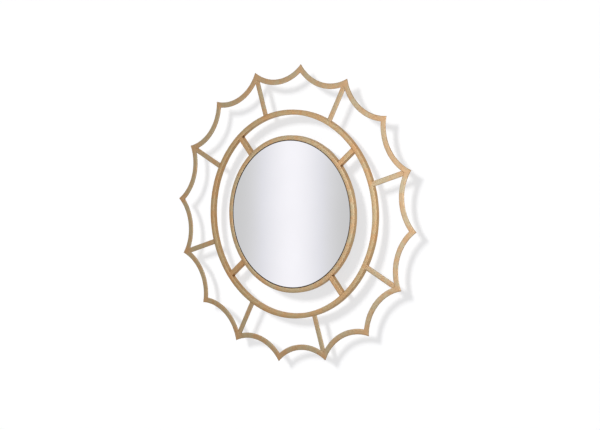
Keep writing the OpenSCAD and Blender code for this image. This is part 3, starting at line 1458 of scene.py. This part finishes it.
@dataclass
class Studio:
    """Wall, floor, lights and camera."""

    plan: Plan
    camera_at: Point = (2.08335, -2.75311, 0.31992)
    camera_aim: Point = (0.03555, -0.0165, 0.00201)
    camera_roll: float = math.radians(-4.2739)
    lens: float = 77.441
    sensor: float = 36.0
    wall_gap: float = 0.0003
    wall_reach: float = 6.0
    floor_z: float = -1.2
    floor_reach: float = 2.5
    wall_diffuse: float = 0.3145
    wall_glow: float = 0.690
    wall_tint: Color = (1.0, 1.003, 1.018)
    ambient: float = 0.25
    room_level: Span = (0.20, 0.35)
    room_rise: Span = (-0.8, -0.2)
    room_swing: float = 0.3
    room_tint: Color = (1.045, 0.97, 0.835)
    panel_edge: Span = (math.radians(8), math.radians(12))
    panel_height: float = -0.09
    band_count: float = 68.0
    band_azimuth: float = math.radians(-37.167)
    band_tilt: float = 0.0625
    band_level: Span = (0.338, 0.697)
    lavender: Color = (1.023, 0.971, 0.960)
    window: Light = Light(
        "window_light", LightKind.SUN, (-0.62, -1.0, 0.678), 3.25, math.radians(15)
    )
    sky: Light = Light(
        "mirror_sky",
        LightKind.SUN,
        (0.0, -1.0, 0.0),
        0.942,
        math.radians(178),
        (0.947, 1.033, 1.193),
    )
    lamps: tuple[Light, ...] = (
        Light("front_lamp", LightKind.PANEL, (-0.60, -2.28, 0.08), 18.0, 1.2, (0.865, 1.0, 1.325)),
        Light("side_lamp", LightKind.PANEL, (1.0, -0.35, 0.15), 8.5, 0.5, (0.91, 1.0, 1.28)),
        Light("rear_lamp", LightKind.PANEL, (-1.2, 2.4, 1.2), 42.0, 3.2, (0.93, 1.0, 1.17)),
    )

    def build(self, pieces: Pieces) -> None:
        """Builds the studio.

        Args:
            pieces: What the lamps and the mirror's own light shine on.
        """
        scene = bpy.context.scene
        scene.view_settings.view_transform = "Standard"
        self.world(scene)
        wall_at = (0.0, self.plan.wall + self.wall_gap, 0.0)
        self.backdrop("studio_wall", wall_at, QUARTER, self.wall_reach)
        floor = self.backdrop("studio_floor", (0.0, 0.0, self.floor_z), 0.0, self.floor_reach)
        floor.visible_glossy = False
        self.window.add().visible_glossy = False
        self.sky.add(pieces.mirrors)
        for lamp in self.lamps:
            lamp.add(pieces.lit)
        self.camera(scene)

    def world(self, scene: Scene) -> None:
        """Makes a bright room with soft upright bands of light, seen in what is glossy.

        Args:
            scene: The scene.
        """
        world = bpy.data.worlds.new("bright_room")
        world.use_nodes = True
        scene.world = world
        graph = Graph(world.node_tree)
        way = graph.parts(graph.out("ShaderNodeTexCoord", "Generated"))
        azimuth = graph.math("ARCTAN2", way["X"], graph.times(way["Y"], -1.0))
        rise = graph.less(way["Z"], self.panel_height)
        aside = graph.less(azimuth, self.band_azimuth)
        aside = graph.plus(graph.times(rise, self.band_tilt), aside)
        wave = graph.cosine(graph.times(aside, self.band_count))
        panel = graph.remap(graph.hypotenuse(aside, rise), self.panel_edge, (1.0, 0.0))
        band = graph.remap(wave, (-1.0, 1.0), self.band_level)
        room = graph.remap(way["Z"], self.room_rise, self.room_level)
        room = graph.times(room, graph.plus(graph.times(wave, self.room_swing), 1.0))
        seen = graph.add("ShaderNodeLightPath").outputs
        straight = graph.math("MAXIMUM", seen["Is Camera Ray"], seen["Is Transmission Ray"])
        glossy = graph.less(seen["Is Glossy Ray"], straight)
        level = graph.between(self.ambient, graph.between(room, band, panel), glossy)
        light = graph.times(panel, graph.remap(wave, (-1.0, 0.0)))
        color = graph.mix(glossy, WHITE, graph.mix(light, self.room_tint, self.lavender))
        background = world.node_tree.nodes["Background"]
        graph.feed(background, "Color", color)
        graph.feed(background, "Strength", graph.math("MAXIMUM", level, straight))

    def backdrop(self, name: str, place: Point, tilt: float, reach: float) -> Object:
        """Makes one wide sheet, white and with shadows in front, and unseen from behind.

        Args:
            name: Name of the sheet.
            place: Its middle.
            tilt: Its turn about the X axis.
            reach: Half its width.

        Returns:
            The sheet.
        """
        mesh = bpy.data.meshes.new(name)
        corners = [(-1, -1), (1, -1), (1, 1), (-1, 1)]
        mesh.from_pydata([(reach * x, reach * y, 0.0) for x, y in corners], [], [(0, 1, 2, 3)])
        mesh.transform(Matrix.Translation(place) @ Matrix.Rotation(tilt, 4, "X"))
        sheet = bpy.data.objects.new(name, mesh)
        bpy.context.scene.collection.objects.link(sheet)
        sheet.visible_shadow = False
        sheet.visible_diffuse = False
        material = bpy.data.materials.new(name)
        material.use_nodes = True
        mesh.materials.append(material)
        graph = Graph(material.node_tree)
        nodes = material.node_tree.nodes
        nodes.remove(nodes["Principled BSDF"])
        matt = graph.out("ShaderNodeBsdfDiffuse", "BSDF", {"Color": (self.wall_diffuse,) * 3})
        lit = {"Color": self.wall_tint, "Strength": self.wall_glow}
        glow = graph.out("ShaderNodeEmission", "Emission", lit)
        front = graph.out("ShaderNodeAddShader", "Shader", {0: matt, 1: glow})
        behind = graph.out("ShaderNodeNewGeometry", "Backfacing")
        clear = graph.out("ShaderNodeBsdfTransparent", "BSDF")
        surface = graph.out("ShaderNodeMixShader", "Shader", {0: behind, 1: front, 2: clear})
        graph.feed(nodes["Material Output"], "Surface", surface)
        return sheet

    def camera(self, scene: Scene) -> None:
        """Makes the camera.

        Args:
            scene: The scene.
        """
        data = bpy.data.cameras.new("photo_camera")
        data.sensor_fit = "HORIZONTAL"
        data.sensor_width = self.sensor
        data.lens = self.lens
        camera = bpy.data.objects.new("photo_camera", data)
        scene.collection.objects.link(camera)
        back = Vector(self.camera_at) - Vector(self.camera_aim)
        upright = back.to_track_quat("Z", "Y").to_matrix().to_4x4()
        roll = Matrix.Rotation(-self.camera_roll, 4, "Z")
        camera.matrix_world = Matrix.Translation(self.camera_at) @ upright @ roll
        scene.camera = camera


def main() -> None:
    """Loads the frame and builds the sub-assemblies in order."""
    logging.basicConfig(level=logging.INFO, format="%(name)s: %(message)s")
    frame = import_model()
    plan = Plan()
    effects = Effects()
    gold = AntiqueGold("antique_gold", effects)
    spoke_gold = gold.toned("antique_gold_spokes", tone=WHITE, heat=0.35)
    ring_gold = gold.toned("antique_gold_rings", tone=(1.05, 0.975, 0.865), heat=0.5)
    # The mirror's ring takes a lighter copy of the gold, as a painted highlight for its brighter
    # rounded edges.
    lightened_sight_gold = gold.toned("antique_gold_mirror", tone=(1.06, 1.05, 1.01), heat=0.3)
    rubber = BlackRubber("black_rubber", effects)
    dark = {"black": (0.010, 0.006, 0.003), "worn": (0.020, 0.012, 0.006), "shine": 0.1}
    pieces = Pieces(frame["nodes"])
    ScallopedBorder(plan, gold.material(), spoke_gold.material()).build(pieces)
    RingFrame(plan, ring_gold.material()).build(pieces)
    MirrorUnit(
        plan,
        gold=lightened_sight_gold.material(),
        silver=SilveredGlass("silvered_glass", effects, plan.sight_r - plan.gasket_show).material(),
        tape=replace(rubber, name="dark_tape", **dark).material(),
        card=CorrugatedCard("corrugated_card", effects).material(),
        board=Hardboard("hardboard", effects).material(),
    ).build(pieces)
    zinc = ZincSteel("zinc_steel", effects)
    BackFittings(plan, zinc.material(), rubber.material()).build(pieces)
    Studio(plan).build(pieces)


if __name__ == "__main__":
    main()
